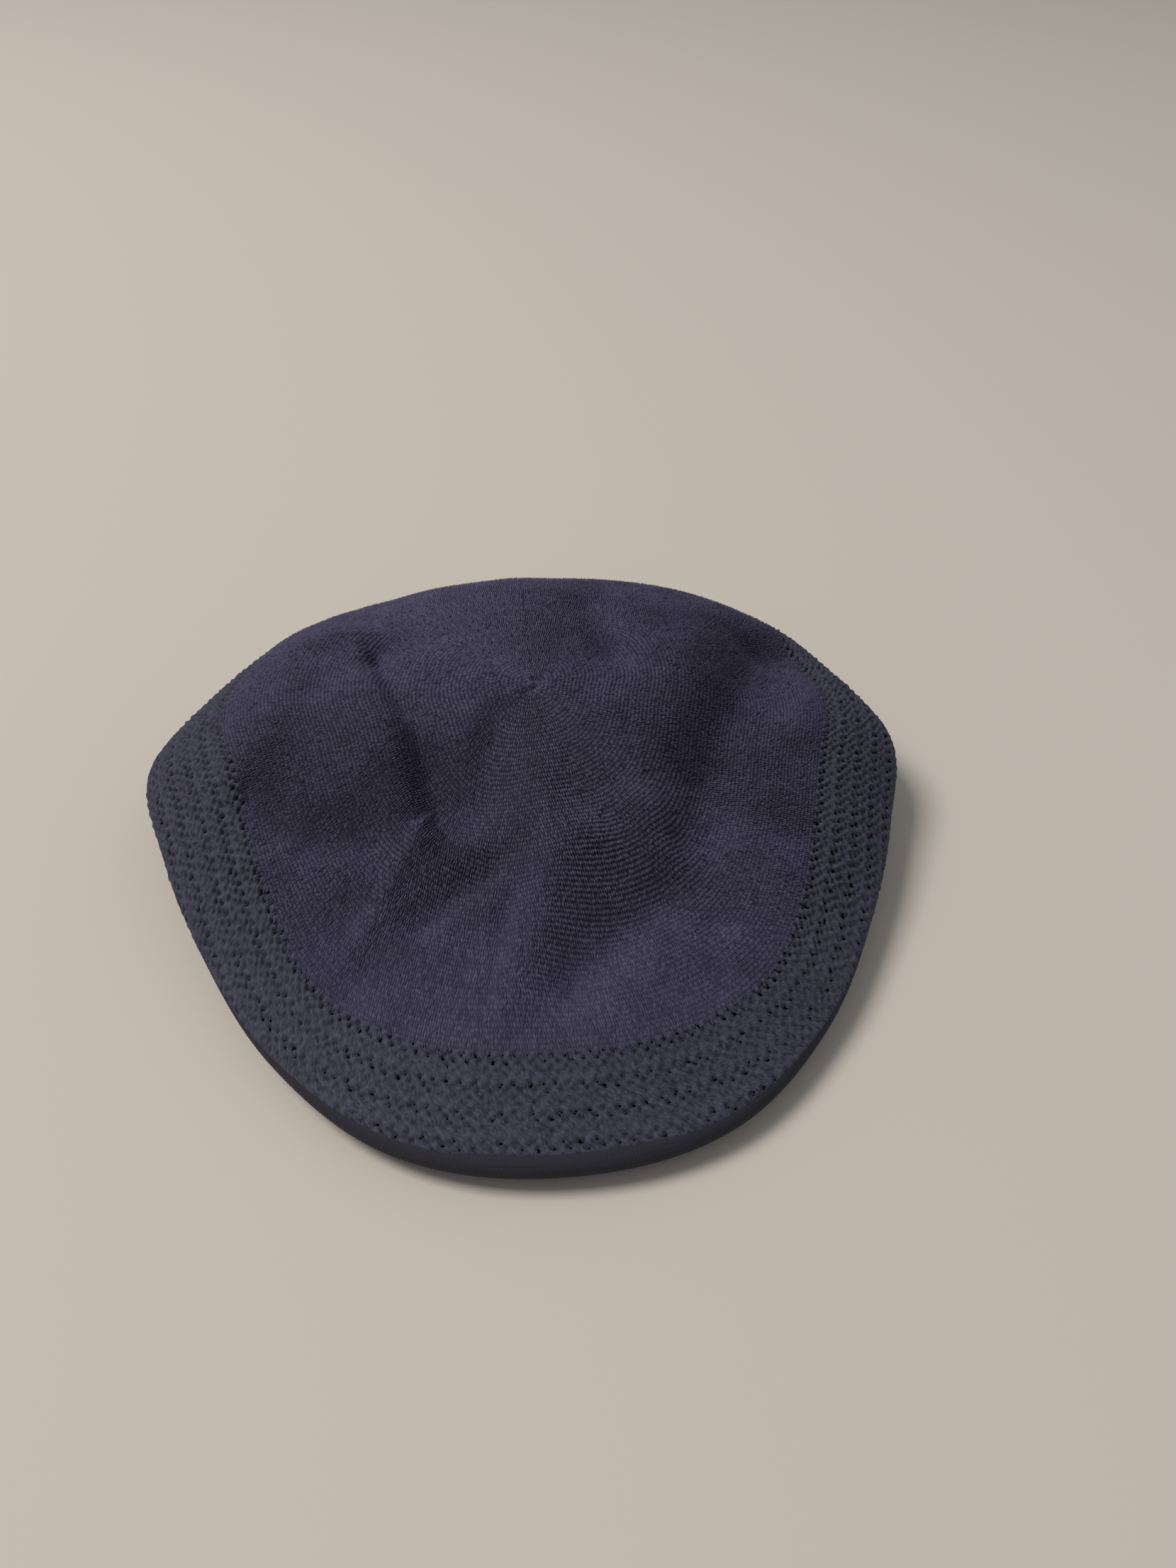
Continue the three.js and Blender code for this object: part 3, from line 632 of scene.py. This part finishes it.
def build_lip():
    end = PEAK_HALF_ANGLE + LIP_TAPER - 1   # a degree short of where the edge ends
    bearings, parts = np.linspace(-end, end, LIP_SHEET[0]), np.linspace(0, 1, LIP_SHEET[1])
    points, faces = ring_grid(lip_zone, bearings, parts, 0.05, closed=False)
    knit = small_stitches(lip_zone, -end, end, rows=8, pitch=1.1, length=1.4, height=0.10, tone=0.85)
    points, faces, tones = join((points, faces, 0.85), knit)
    return make_mesh("peak_edge_knit", points, faces, tone=tones)


def build_underside(name, low, high, rows, height):
    bearings, parts = np.linspace(low, high, UNDER_SHEET[0]), np.linspace(0, 1, UNDER_SHEET[1])
    points, faces = ring_grid(under_zone, bearings, parts, closed=False)
    knit = small_stitches(under_zone, low, high, rows, pitch=1.3, length=3.0, height=height, tone=0.6)
    # The sheet under these stitches is painted darker than they are: painted shade between them
    points, faces, tones = join((points, faces, 0.4), knit)
    return make_mesh(name, points, faces, tone=tones)


def build_band():
    """The band's wall, rounded at its upper edge and its foot."""
    bearings = all_round(BAND_COLUMNS)
    a = np.radians(bearings)
    half_wall = BAND_WALL / 2
    rings = []
    for rise, turns in ((BAND_RISE - half_wall, BAND_TOP_TURNS), (half_wall, BAND_FOOT_TURNS)):
        for t in np.radians(turns):
            out = half_wall + half_wall * math.cos(t)
            up = half_wall * math.sin(t) + rise
            reach = ellipse(bearings, OPENING_LENGTH / 2 + out, OPENING_WIDTH / 2 + out)
            place = [reach * np.sin(a), -reach * np.cos(a) + ROSETTE_BACK, np.full(len(a), up)]
            rings.append(np.stack(place, -1))
    count = len(rings) * BAND_COLUMNS
    faces = grid_faces(len(rings) + 1, BAND_COLUMNS, True) % count
    return make_mesh("head_band_cloth", np.stack(rings), faces, tone=np.full(count, 0.5))


crown = build_crown()
vent = build_vent()
lip = build_lip()
peak_under = build_underside("peak_underside_knit", -PEAK_HALF_ANGLE, PEAK_HALF_ANGLE, 10, 0.2)
under_band = build_underside("under_band_knit", PEAK_HALF_ANGLE, 360 - PEAK_HALF_ANGLE, 12, 0.3)
band = build_band()


def yarn(name, dark, light, sheen, fibre):
    """Matt yarn, coloured from dark to light by the tone of each stitch. fibre is its grain in mm."""
    material = bpy.data.materials.new(name)
    material.use_nodes = True
    tree = material.node_tree
    shader = tree.nodes["Principled BSDF"]
    shader.inputs["Roughness"].default_value = 0.8
    shader.inputs["Specular IOR Level"].default_value = 0.2
    shader.inputs["Sheen Weight"].default_value = sheen
    shader.inputs["Sheen Roughness"].default_value = 0.4
    shader.inputs["Sheen Tint"].default_value = (0.6, 0.6, 1.0, 1.0)
    tone = tree.nodes.new("ShaderNodeAttribute")
    tone.attribute_name = "tone"
    colour = tree.nodes.new("ShaderNodeMix")
    colour.data_type = "RGBA"
    colour.inputs["A"].default_value = (*dark, 1)
    colour.inputs["B"].default_value = (*light, 1)
    tree.links.new(tone.outputs["Fac"], colour.inputs["Factor"])
    tree.links.new(colour.outputs["Result"], shader.inputs["Base Color"])
    place = tree.nodes.new("ShaderNodeTexCoord")
    noise = tree.nodes.new("ShaderNodeTexNoise")
    noise.inputs["Scale"].default_value = 1 / (fibre * MM)
    noise.inputs["Detail"].default_value = 3
    bump = tree.nodes.new("ShaderNodeBump")
    bump.inputs["Strength"].default_value = 0.6
    bump.inputs["Distance"].default_value = 0.8 * fibre * MM
    tree.links.new(place.outputs["Object"], noise.inputs["Vector"])
    tree.links.new(noise.outputs["Fac"], bump.inputs["Height"])
    tree.links.new(bump.outputs["Normal"], shader.inputs["Normal"])
    return material


plain_yarn = yarn("plain_yarn", (0.008, 0.007, 0.014), (0.117, 0.107, 0.197), 0.04, 0.38)
vent_yarn = yarn("vent_yarn", (0.006, 0.006, 0.011), (0.063, 0.063, 0.097), 0.06, 0.55)
edge_yarn = yarn("edge_yarn", (0.010, 0.009, 0.014), (0.0265, 0.0255, 0.035), 0.04, 0.38)
band_cloth = yarn("band_cloth", (0.020, 0.020, 0.030), (0.030, 0.030, 0.042), 0.04, 0.38)

for piece, material, slot, nodes in (
        (crown, plain_yarn, "plain_knit", ("crown",)),
        (vent, vent_yarn, "vent_knit", ("vent_band",)),
        (lip, edge_yarn, "edge_knit", ("peak_edge",)),
        (peak_under, edge_yarn, "edge_knit", ("peak",)),
        (under_band, vent_yarn, "vent_knit", ("under_band",)),
        (band, band_cloth, "band_cloth", ("head_band",))):
    piece.data.materials.append(material)
    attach(piece, "root")
    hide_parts(*nodes)

# Camera at the photograph's viewpoint, found from the straight edges around the cap and its size
PHOTO_HEIGHT = 2212
FOCAL_PIXELS = 1661.0
SENSOR = 36.0
CAMERA_PLACE = (-20.7, -296.9, 310.0)
CAMERA_RIGHT = (0.9943, -0.1029, 0.0271)
CAMERA_DOWN = (-0.0486, -0.6658, -0.7445)
CAMERA_AHEAD = (0.0947, 0.7390, -0.6670)

# The table and the light, in metres and watts: one broad light from the left, and an even sky
FLOOR_HALF_WIDTH = 6.0
FLOOR_COLOUR = (0.56, 0.508, 0.452, 1)
KEY_PLACE = (-2.05, 0.4, 3.25)
KEY_AIM = (0, 0, 0.03)
KEY_SIZE = 1.45
KEY_POWER = 111
KEY_COLOUR = (1.0, 0.97, 0.93)
SKY_COLOUR = (0.95, 0.97, 1.0, 1)
SKY_STRENGTH = 0.37


def place_camera():
    data = bpy.data.cameras.new("camera")
    data.sensor_width = SENSOR
    data.lens = FOCAL_PIXELS / PHOTO_HEIGHT * SENSOR
    data.clip_start = 0.01
    camera = bpy.data.objects.new("camera", data)
    bpy.context.scene.collection.objects.link(camera)
    turn = Matrix((CAMERA_RIGHT, -Vector(CAMERA_DOWN), -Vector(CAMERA_AHEAD))).transposed()
    camera.matrix_world = Matrix.Translation(Vector(CAMERA_PLACE) * MM) @ turn.to_4x4()
    bpy.context.scene.camera = camera


def build_floor():
    corners = [(-1, -1, 0), (1, -1, 0), (1, 1, 0), (-1, 1, 0)]
    points = np.array(corners) * FLOOR_HALF_WIDTH / MM
    floor = make_mesh("table", points, np.array([(0, 1, 2, 3)]), smooth=False)
    material = bpy.data.materials.new("table")
    material.use_nodes = True
    shader = material.node_tree.nodes["Principled BSDF"]
    shader.inputs["Base Color"].default_value = FLOOR_COLOUR
    shader.inputs["Roughness"].default_value = 0.7
    shader.inputs["Specular IOR Level"].default_value = 0.2
    floor.data.materials.append(material)


def place_key_light():
    data = bpy.data.lights.new("key", "AREA")
    data.shape = "SQUARE"
    data.size = KEY_SIZE
    data.energy = KEY_POWER
    data.color = KEY_COLOUR
    light = bpy.data.objects.new("key", data)
    bpy.context.scene.collection.objects.link(light)
    light.location = KEY_PLACE
    light.rotation_euler = (Vector(KEY_AIM) - Vector(KEY_PLACE)).to_track_quat("-Z", "Y").to_euler()


place_camera()
build_floor()
place_key_light()
world = bpy.data.worlds.new("world")
world.use_nodes = True
world.node_tree.nodes["Background"].inputs["Color"].default_value = SKY_COLOUR
world.node_tree.nodes["Background"].inputs["Strength"].default_value = SKY_STRENGTH
bpy.context.scene.world = world
bpy.context.scene.view_settings.view_transform = "Standard"
